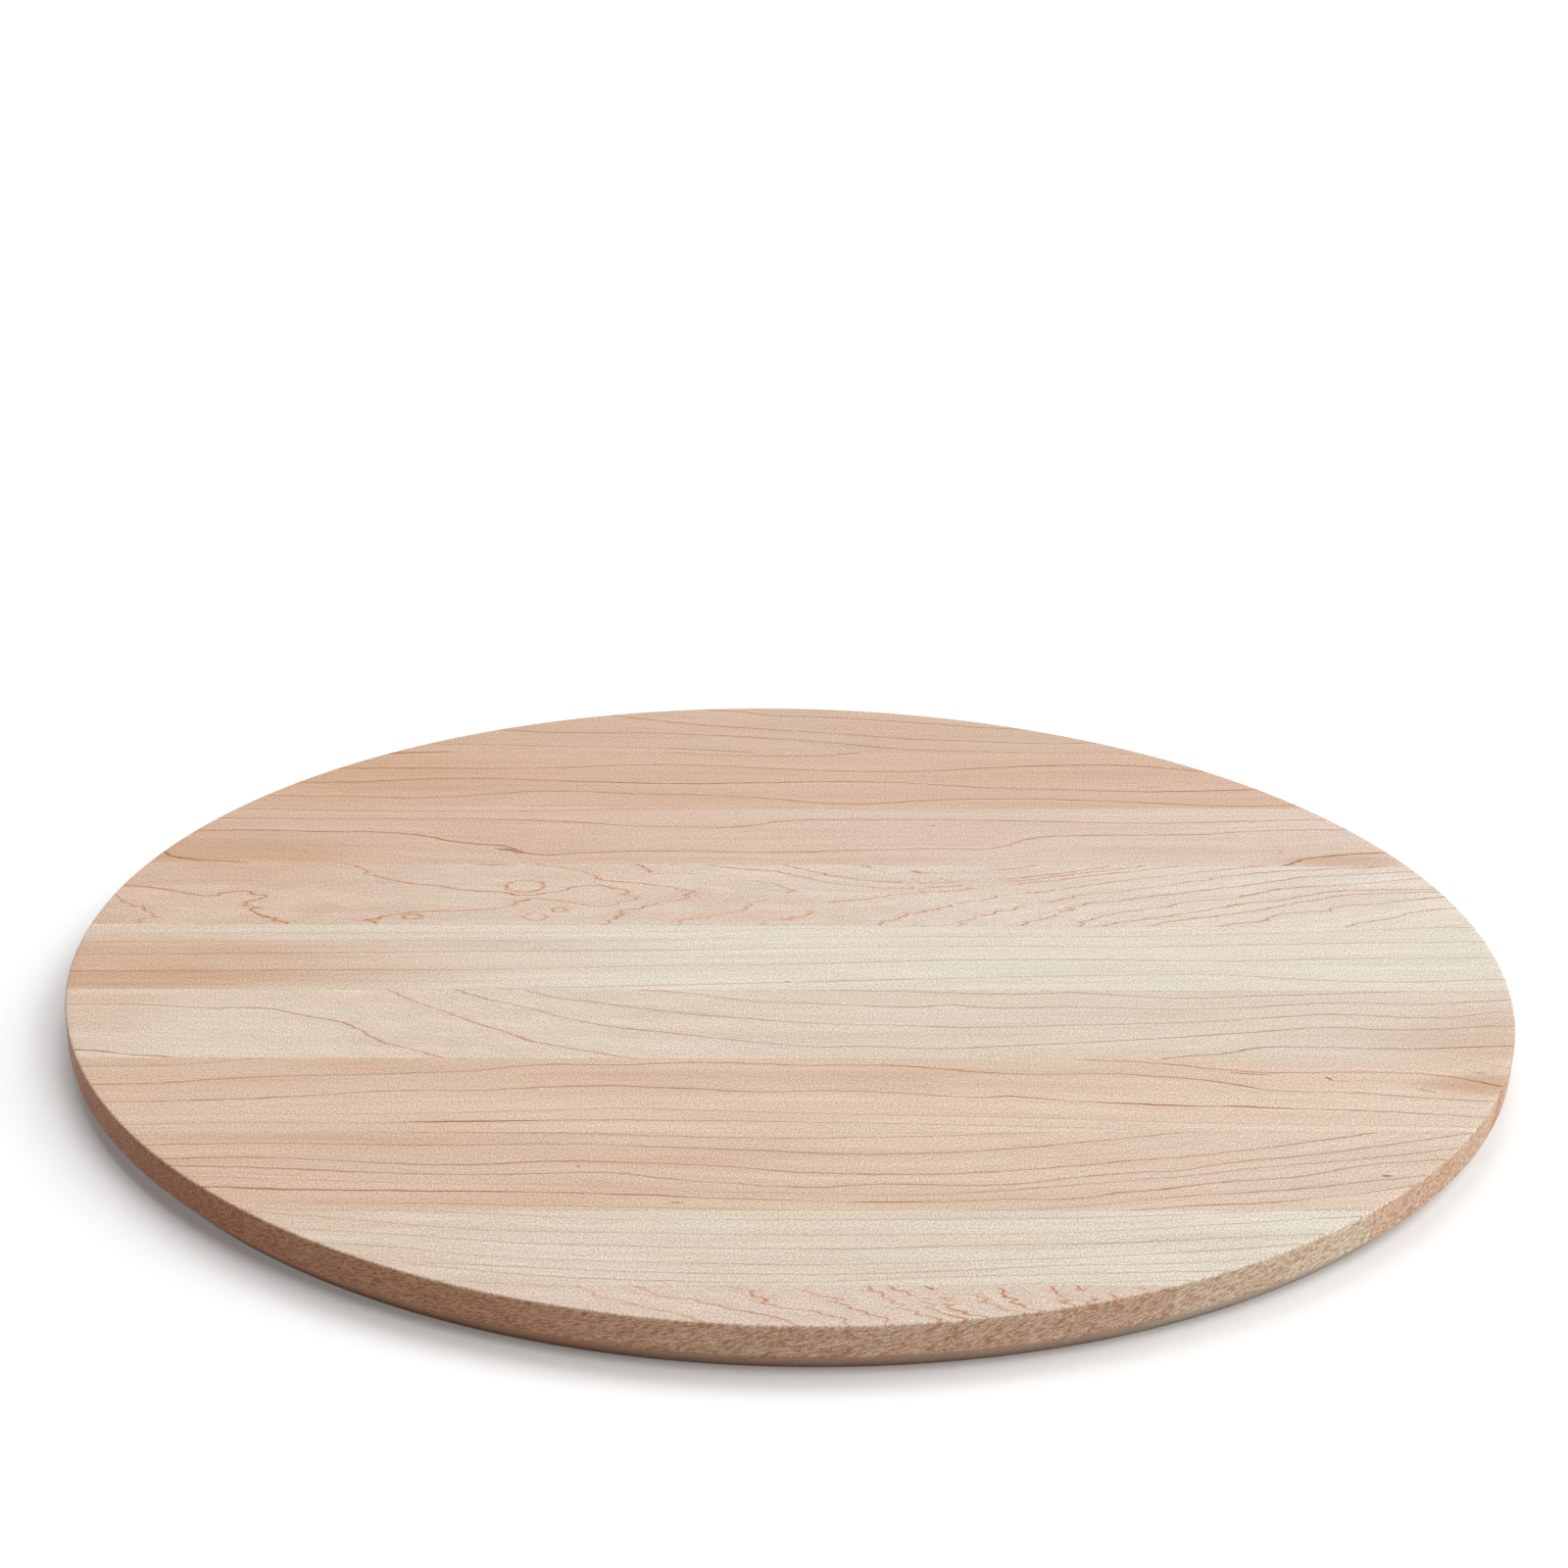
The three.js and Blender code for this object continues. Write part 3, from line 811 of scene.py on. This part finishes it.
def ring_lines(tree, grain, figure):
    """The darkness of the ring lines, and of the smudges that run out along the fibres beside them."""
    ring = node(tree, "Attribute", [], "Fac", attribute_name="ring")
    ink = node(tree, "Attribute", [], "Fac", attribute_name="ring_ink")
    place = node(tree, "VectorMath", [grain, pattern_scale(figure["wobble_size"])], operation="MULTIPLY")
    wobble = node(tree, "TexNoise", {"Vector": place, "Scale": 1, "Detail": 1})
    wobble = node(tree, "Math", [wobble, 0.5], operation="SUBTRACT")
    wobble_share = 2 * figure["wobble_reach"] / LINE_SCALE
    ring = node(tree, "Math", [wobble, wobble_share, ring], operation="MULTIPLY_ADD")
    run = node(tree, "Attribute", [], "Fac", attribute_name="ring_run")
    place = node(tree, "VectorMath", [grain, pattern_scale(JAG_SIZE)], operation="MULTIPLY")
    jag = node(tree, "TexNoise", {"Vector": place, "Scale": 1, "Detail": 0})
    jag = node(tree, "MapRange", [jag, *NOISE_RANGE, -figure["jag_reach"], figure["jag_reach"]])
    ring = node(tree, "Math", [jag, run, ring], operation="MULTIPLY_ADD")
    near = node(tree, "Math", [ring, 0.5], operation="ADD")
    near = node(tree, "Math", [near], operation="FRACT")
    past = node(tree, "Math", [near, LINE_SCALE, -LINE_SCALE / 2], operation="MULTIPLY_ADD")
    away = node(tree, "Math", [past], operation="ABSOLUTE")
    half_width = figure["half_width"]
    by_ink = INK_WIDENS * half_width
    reach = node(tree, "Math", [ink, by_ink, half_width - by_ink], operation="MULTIPLY_ADD")
    crossing = node(tree, "Math", [run], operation="ABSOLUTE")
    crossing = node(tree, "Math", [crossing, LINE_SCALE], operation="MULTIPLY")
    reach = node(tree, "Math", [crossing, figure["jag_width"], reach], operation="MULTIPLY_ADD")
    line = node(tree, "MapRange", [away, reach, LINE_CORE, 0, 1], interpolation_type="SMOOTHSTEP")
    place = node(tree, "VectorMath", [grain, pattern_scale(FADE_SIZE)], operation="MULTIPLY")
    fade = node(tree, "TexNoise", {"Vector": place, "Scale": 1, "Detail": 3})
    fade = node(tree, "MapRange", [fade, *FADE_NOISE, *FADE_RANGE])
    strength = node(tree, "Math", [fade, ink], operation="MULTIPLY")
    line = node(tree, "Math", [line, strength], operation="MULTIPLY")
    place = node(tree, "VectorMath", [grain, pattern_scale(SMUDGE_SIZE)], operation="MULTIPLY")
    smudge = node(tree, "TexNoise", {"Vector": place, "Scale": 1, "Detail": 2})
    smudge = node(tree, "MapRange", [smudge, *SMUDGE_NOISE, 0, 1])
    beside = node(tree, "MapRange", [away, SMUDGE_REACH, 0, 0, 1], interpolation_type="SMOOTHSTEP")
    smudge = node(tree, "Math", [smudge, beside], operation="MULTIPLY")
    smudge = node(tree, "Math", [smudge, strength], operation="MULTIPLY")
    return line, node(tree, "Math", [smudge, crossing], operation="MULTIPLY")


print("ring lines read the fields ring, ring_ink and ring_run")

# %% [markdown]
# Boards also carry small accidents: a knot no bigger than a fingernail, mineral streaks, a scuff. Each is
# drawn as a short stroke from one place to another, with a width and a darkness.

# %% Small dark marks
marks = {
    "stave_1": [(133, 163, 144, 163, 1, 0.5)],
    "stave_2": [
        (-101, 104.5, -96, 102.5, 1.4, 0.9),
        (-98, 105, -93, 101, 1.6, 0.9),
        (-95, 101, -90, 100, 1.2, 0.8),
        (53.5, 126.1, 57.5, 126.1, 1, 0.6),
        (178, 103.9, 178.6, 103.9, 1.2, 0.8),
    ],
    "stave_3": [(-109, 90, -93, 90, 1.6, 0.5)],
    "stave_4": [(-2.2, -6.6, -0.7, -6.6, 1, 0.8)],
    "stave_6": [
        (137, -74.6, 153, -76.5, 0.9, 0.8),
        (168.4, -77.5, 170.8, -80.3, 1.1, 1),
        (170.8, -80.3, 177, -81, 0.7, 0.7),
        (196, -85.5, 203, -89.5, 2, 0.3),
        (217, -74.6, 221, -74.6, 1, 0.7),
    ],
    "stave_7": [
        (-43, -163.9, -38, -163.9, 1, 0.8),
        (176.3, -146.3, 179, -146.3, 2, 0.8),
        (-70.5, -139.2, -70.1, -140.8, 1, 0.6),
    ],
}
MARK_DEPTH = 4 * MM
MARK_EDGE_SIZE = (2.5 * MM, 1.2 * MM, 1.2 * MM)
# How far out a mark ends and is at its darkest, in half lengths, with its ragged edge added
MARK_FADE = (1.6, 0.8)


def mark_darkness(tree, name):
    """How dark the stave's small marks are at each place."""
    place = node(tree, "TexCoord", [], "Object")
    ragged = node(tree, "VectorMath", [place, pattern_scale(MARK_EDGE_SIZE)], operation="MULTIPLY")
    ragged = node(tree, "TexNoise", {"Vector": ragged, "Scale": 1, "Detail": 2})
    darkness = 0
    for start_x, start_y, end_x, end_y, width, strength in marks.get(name, []):
        middle = ((start_x + end_x) / 2 * MM, (start_y + end_y) / 2 * MM, THICKNESS)
        turned = math.atan2(end_y - start_y, end_x - start_x)
        length = math.hypot(end_x - start_x, end_y - start_y) + width
        size = (length / 2 * MM, width / 2 * MM, MARK_DEPTH)
        near = node(tree, "Mapping", [place, middle, (0, 0, turned), size], vector_type="TEXTURE")
        out = node(tree, "VectorMath", [near], "Value", operation="LENGTH")
        out = node(tree, "Math", [out, ragged], operation="ADD")
        dark = node(tree, "MapRange", [out, *MARK_FADE, 0, strength], interpolation_type="SMOOTHSTEP")
        darkness = node(tree, "Math", [dark, darkness], operation="MAXIMUM")
    return darkness


print(f"{sum(len(strokes) for strokes in marks.values())} small marks")

# %% [markdown]
# The rest of the figure is quieter: streaks that follow the rings, fibres, and a speckle of pores and
# rays. Real maple pores are under 0.1 mm across, too fine for this picture, so they are drawn about a
# millimetre wide.

# %% Streaks, fibres and speckle
# Broad and fine streaks: length in millimetres, how many to a ring, width in millimetres, and strength
STREAKS = ((130, 3, 9, 0.05), (110, 9, 2.5, 0.05))
FIBRE_SIZE = (7, 0.8, 0.8)
FIBRE_CHANGE = 0.04
SPECKLE_SIZE = (0.6, 1.0, 1.0)
SPECKLE_CHANGE = 0.26


def maple_shade(tree, grain):
    """How light or dark the wood is round its tone, and the fine fibres by themselves."""
    along = node(tree, "SeparateXYZ", [grain], "X")
    across = node(tree, "SeparateXYZ", [grain], "Y")
    band = node(tree, "Attribute", [], "Fac", attribute_name="band")
    place = node(tree, "CombineXYZ", [along, band, across])
    shade = 1
    for length, per_ring, width, strength in STREAKS:
        scaled = node(tree, "VectorMath", [place, (1 / length, per_ring, 1 / width)], operation="MULTIPLY")
        streak = node(tree, "TexNoise", {"Vector": scaled, "Scale": 1, "Detail": 4})
        streak = node(tree, "MapRange", [streak, *NOISE_RANGE, 1 - strength, 1 + strength])
        shade = node(tree, "Math", [streak, shade], operation="MULTIPLY")
    place = node(tree, "VectorMath", [grain, pattern_scale(FIBRE_SIZE)], operation="MULTIPLY")
    fibre = node(tree, "TexNoise", {"Vector": place, "Scale": 1, "Detail": 2})
    place = node(tree, "VectorMath", [grain, pattern_scale(SPECKLE_SIZE)], operation="MULTIPLY")
    speckle = node(tree, "TexNoise", {"Vector": place, "Scale": 1, "Detail": 1})
    fibre_shade = node(tree, "MapRange", [fibre, *NOISE_RANGE, 1 - FIBRE_CHANGE, 1 + FIBRE_CHANGE])
    speckle_shade = node(tree, "MapRange", [speckle, *NOISE_RANGE, 1 - SPECKLE_CHANGE, 1 + SPECKLE_CHANGE])
    shade = node(tree, "Math", [shade, fibre_shade], operation="MULTIPLY")
    shade = node(tree, "Math", [shade, speckle_shade], operation="MULTIPLY")
    return shade, fibre


print("streaks read the field band")

# %% [markdown]
# On the rim the ends of the fibres show as short dark marks, and they drink more oil. The field
# painted_rim_shade adds painted shade towards the front and left, and the cut face is made lighter,
# partly to make up for its dark marks and partly as painted light.

# %% Oil and marks on the rim
RIM_MARK_SIZE = (2.6, 0.5, 1.6)
RIM_MARK_NOISE = (0.46, 0.62)
# How much lighter the rim's cut face is made: partly to make up for its dark marks, partly painted light
RIM_MARK_BALANCE_AND_PAINTED_LIGHT = 0.2
RIM_TINT = "#fff4ea"
# Tint of the rim's painted shade
PAINTED_SHADE_TINT = "#dfbba6"
RIM_MARK_TINT = "#d9c2ae"


def rim_oil_marks_and_painted_light(tree, colour):
    """The wood's colour with the rim's oil, painted shade and marks, and the cut face's lift, partly painted
    light.
    """
    rim = node(tree, "Attribute", [], "Fac", attribute_name="rim")
    painted_shade_share = node(tree, "Attribute", [], "Fac", attribute_name="painted_rim_shade")
    face = node(tree, "Attribute", [], "Fac", attribute_name="rim_face")
    place = node(tree, "Attribute", [], "Vector", attribute_name="rim_place")
    place = node(tree, "VectorMath", [place, pattern_scale(RIM_MARK_SIZE)], operation="MULTIPLY")
    mark = node(tree, "TexNoise", {"Vector": place, "Scale": 1, "Detail": 1})
    mark = node(tree, "MapRange", [mark, *RIM_MARK_NOISE, 0, 1], interpolation_type="SMOOTHSTEP")
    mark = node(tree, "Math", [mark, face], operation="MULTIPLY")
    for share, tint in ((rim, RIM_TINT), (painted_shade_share, PAINTED_SHADE_TINT), (mark, RIM_MARK_TINT)):
        tinted = {0: share, 6: colour, 7: linear(tint)}
        colour = node(tree, "Mix", tinted, 2, data_type="RGBA", blend_type="MULTIPLY")
    return colour, node(tree, "Math", [face, RIM_MARK_BALANCE_AND_PAINTED_LIGHT, 1], operation="MULTIPLY_ADD")


print("the rim reads the fields rim, rim_face and browned")

# %% Maple material
CLOUD_SIZE = (90, 14, 14)
CLOUD_RANGE = (0.88, 1.1)
CLOUD_NOISE = (0.45, 0.75)
CLOUD_WARMTH = 0.2
# The tone of the warm patches, and of the painted shade towards the left ends
WARM_AND_SHADED_TONE = "#c39d80"
MARK_TONE = "#7a4526"
# The lines lose half of their darkness on the rim
LINE_ON_RIM = -0.5
WOOD_IOR = 1.5
# Bare fibres scatter much of the gloss that a film of varnish would give
OPEN_GRAIN_GLOSS = 0.25
SATIN = 0.55
SATIN_CHANGE = 0.06
GRAIN_HEIGHT = 0.05 * MM
GRAIN_RELIEF = 0.4


def oiled_maple(name, tone, line_share, figure):
    """Sanded, thinly oiled maple in one stave's own tone."""
    material, tree = new_material(f"oiled_maple_{name}")
    grain = node(tree, "Attribute", [], "Vector", attribute_name="grain")
    warmth_and_shade = node(tree, "Attribute", [], "Fac", attribute_name="warmth_and_shade")
    rim = node(tree, "Attribute", [], "Fac", attribute_name="rim")
    line, smudge = ring_lines(tree, grain, figure)
    shade, fibre = maple_shade(tree, grain)

    place = node(tree, "VectorMath", [grain, pattern_scale(CLOUD_SIZE)], operation="MULTIPLY")
    cloud = node(tree, "TexNoise", {"Vector": place, "Scale": 1, "Detail": 4})
    patchy = node(tree, "MapRange", [cloud, *NOISE_RANGE, *CLOUD_RANGE])
    warmth_and_shade = node(tree, "Math", [warmth_and_shade, patchy], operation="MULTIPLY")
    cloudy = node(tree, "MapRange", [cloud, *CLOUD_NOISE, 0, CLOUD_WARMTH])
    warmth_and_shade = node(tree, "Math", [warmth_and_shade, cloudy], operation="ADD")
    # The warm patches, the clouds and the painted shade towards the left end warm the stave's tone
    colour = node(tree, "Mix", {0: warmth_and_shade, 6: linear(tone), 7: linear(WARM_AND_SHADED_TONE)}, 2, data_type="RGBA")
    on_top = node(tree, "Math", [rim, LINE_ON_RIM, 1], operation="MULTIPLY_ADD")
    line = node(tree, "Math", [line, on_top], operation="MULTIPLY")
    line = node(tree, "Math", [line, line_share], operation="MULTIPLY")
    smudge = node(tree, "Math", [smudge, on_top], operation="MULTIPLY")
    smudge = node(tree, "Math", [smudge, figure["smudge"]], operation="MULTIPLY")
    line_tone = linear(figure["line_tone"])
    for share in (smudge, line):
        colour = node(tree, "Mix", {0: share, 6: colour, 7: line_tone}, 2, data_type="RGBA")
    dark = mark_darkness(tree, name)
    colour = node(tree, "Mix", {0: dark, 6: colour, 7: linear(MARK_TONE)}, 2, data_type="RGBA")
    # The rim's oil, marks and painted shade go into the colour, and its cut face gets painted light
    colour, rim_painted_light = rim_oil_marks_and_painted_light(tree, colour)
    shade = node(tree, "Math", [shade, rim_painted_light], operation="MULTIPLY")
    colour = node(tree, "VectorMath", {0: colour, "Scale": shade}, operation="SCALE")

    roughness = node(tree, "MapRange", [fibre, *NOISE_RANGE, SATIN - SATIN_CHANGE, SATIN + SATIN_CHANGE])
    finish = {
        "Base Color": colour,
        "Roughness": roughness,
        "IOR": WOOD_IOR,
        "Specular IOR Level": OPEN_GRAIN_GLOSS,
        "Normal": node(tree, "Bump", {"Height": fibre, "Strength": GRAIN_RELIEF, "Distance": GRAIN_HEIGHT}),
    }
    surface = node(tree, "BsdfPrincipled", finish)
    node(tree, "OutputMaterial", {"Surface": surface})
    return material


# %% Maple on every stave
TONES = {
    "back_stave": "#ccb09a",
    "stave_1": "#d0b19b",
    "stave_2": "#dac5b6",
    "stave_3": "#dfd4c7",
    "stave_4": "#dcd3c5",
    "stave_5": "#d8c8b7",
    "stave_6": "#ddc9b6",
    "stave_7": "#dac6b4",
    "ripped_stave": "#dfd9cb",
    "front_stave": "#d6c4b4",
}
USUAL_LINES = 0.68
# Where the wood is palest its rings are faint
LINES = {
    "back_stave": 0.8, "stave_1": 0.8, "stave_2": 0.75, "stave_3": 0.8, "stave_4": 0.45, "stave_5": 0.6,
    "ripped_stave": 0.5, "front_stave": 0.75,
}
PLAIN_FIGURE = {
    "wobble_size": (9, 2.5, 2.5), "wobble_reach": 0.6, "jag_reach": 0.3, "jag_width": 0.1,
    "half_width": 0.55, "smudge": 0.2, "line_tone": "#9a5a32",
}
# Where fibres curl, the line steps further along them and is a ragged, more orange one
CURLY_FIGURE = {
    "wobble_size": (9, 2.5, 2.5), "wobble_reach": 0.6, "jag_reach": 0.8, "jag_width": 0.2,
    "half_width": 0.5, "smudge": 0.35, "line_tone": "#b4703c",
}

for name, piece in visual_staves.items():
    figure = CURLY_FIGURE if name in FIGURED else PLAIN_FIGURE
    line_share = LINES.get(name, USUAL_LINES)
    piece.data.materials.append(oiled_maple(name, TONES[name], line_share, figure))
    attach(piece, "root")
print(f"{len(visual_staves)} staves in oiled maple")

# %% [markdown]
# ## Glue lines
#
# Wood glue cures to a thin amber film. Sanding brings it level with the wood, and from a metre away it is
# only a hairline between two staves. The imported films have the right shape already, so they stay, and get a
# material with the slight unevenness of squeezed-out glue.

# %% Wood glue
GLUE_TONE = "#cdb193"
GLUE_DARK_TONE = "#a98560"
GLUE_PATCH_SIZE = (14 * MM, 3 * MM, 3 * MM)
GLUE_PATCH_NOISE = (0.35, 0.7)
GLUE_IOR = 1.48
GLUE_ROUGHNESS = 0.4


def cured_wood_glue():
    """Cured wood glue, sanded flush: amber, a little darker where the joint is fuller."""
    material, tree = new_material("cured_wood_glue")
    place = node(tree, "TexCoord", [], "Object")
    place = node(tree, "VectorMath", [place, pattern_scale(GLUE_PATCH_SIZE)], operation="MULTIPLY")
    patch = node(tree, "TexNoise", {"Vector": place, "Scale": 1, "Detail": 3})
    share = node(tree, "MapRange", [patch, *GLUE_PATCH_NOISE, 0, 1])
    mixed = {0: share, 6: linear(GLUE_TONE), 7: linear(GLUE_DARK_TONE)}
    colour = node(tree, "Mix", mixed, 2, data_type="RGBA")
    finish = {"Base Color": colour, "Roughness": GLUE_ROUGHNESS, "IOR": GLUE_IOR}
    surface = node(tree, "BsdfPrincipled", finish)
    node(tree, "OutputMaterial", {"Surface": surface})
    return material


glue = cured_wood_glue()
for name in films:
    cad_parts[name].material_slots[0].material = glue
print(f"{len(films)} films of wood glue")

# %% [markdown]
# ## Floor and light
#
# The board lies on a white sweep. To the camera the floor is white and keeps the board's shadow, but it
# throws back less light than white paper would, because the photograph's rim is dark towards the left. A
# small share of it glows, for the camera alone, which keeps the shadow pale, as it is in the photograph.
# Three broad soft lamps share the light: one on the right, one at the front right, and one high up at the
# back. A faint even sky fills the rest. Together they light the top so that a colour comes out about as
# it was written, and they leave a soft shadow at the front and on the left.

# %% Floor
FLOOR_SIZE = 12
WHITE = "#ffffff"
FLOOR_BOUNCE = "#cccccc"
FLOOR_GLOW = 0.15


def seen_directly(tree):
    """One for what the camera or a reflection sees, and nought for the light that falls on things."""
    camera_ray = node(tree, "LightPath", [], "Is Camera Ray")
    glossy_ray = node(tree, "LightPath", [], "Is Glossy Ray")
    clear_ray = node(tree, "LightPath", [], "Is Transmission Ray")
    seen = node(tree, "Math", [camera_ray, glossy_ray], operation="MAXIMUM")
    return node(tree, "Math", [seen, clear_ray], operation="MAXIMUM")


bpy.ops.mesh.primitive_plane_add(size=FLOOR_SIZE)
floor = bpy.context.object
floor.name = "floor"
floor_material, tree = new_material("white_sweep")
mixed = {0: seen_directly(tree), 6: linear(FLOOR_BOUNCE), 7: linear(WHITE)}
floor_colour = node(tree, "Mix", mixed, 2, data_type="RGBA")
paper = node(tree, "BsdfDiffuse", {"Color": floor_colour})
glow = node(tree, "Emission", {"Color": linear(WHITE), "Strength": 1})
glow_share = node(tree, "Math", [seen_directly(tree), FLOOR_GLOW], operation="MULTIPLY")
node(tree, "OutputMaterial", {"Surface": node(tree, "MixShader", [glow_share, paper, glow])})
floor.data.materials.append(floor_material)

# %% Sky and lamps
SKY_STRENGTH = 0.05
# Where each lamp's light comes from, how many degrees across it looks, and its strength
LAMPS = {
    "right": {"from": (0.72, 0.13, 0.68), "spread": 46, "strength": 1.54},
    "front_right": {"from": (0.36, -0.50, 0.79), "spread": 34, "strength": 1.23},
    "back": {"from": (-0.04, 0.45, 0.89), "spread": 40, "strength": 1.24},
}

world = bpy.data.worlds.new("studio")
bpy.context.scene.world = world
world.use_nodes = True
tree = world.node_tree
tree.nodes.clear()
strength = node(tree, "MapRange", [seen_directly(tree), 0, 1, SKY_STRENGTH, 1])
sky = node(tree, "Background", {"Color": linear(WHITE), "Strength": strength})
node(tree, "OutputWorld", {"Surface": sky})

for name, lamp in LAMPS.items():
    lamp_data = bpy.data.lights.new(name, "SUN")
    lamp_data.energy = lamp["strength"]
    lamp_data.angle = math.radians(lamp["spread"])
    lamp_object = bpy.data.objects.new(name, lamp_data)
    lamp_object.rotation_euler = Vector(lamp["from"]).to_track_quat("Z", "Y").to_euler()
    bpy.context.collection.objects.link(lamp_object)
bpy.context.scene.view_settings.view_transform = "Standard"
print(f"floor, sky and {len(LAMPS)} lamps")
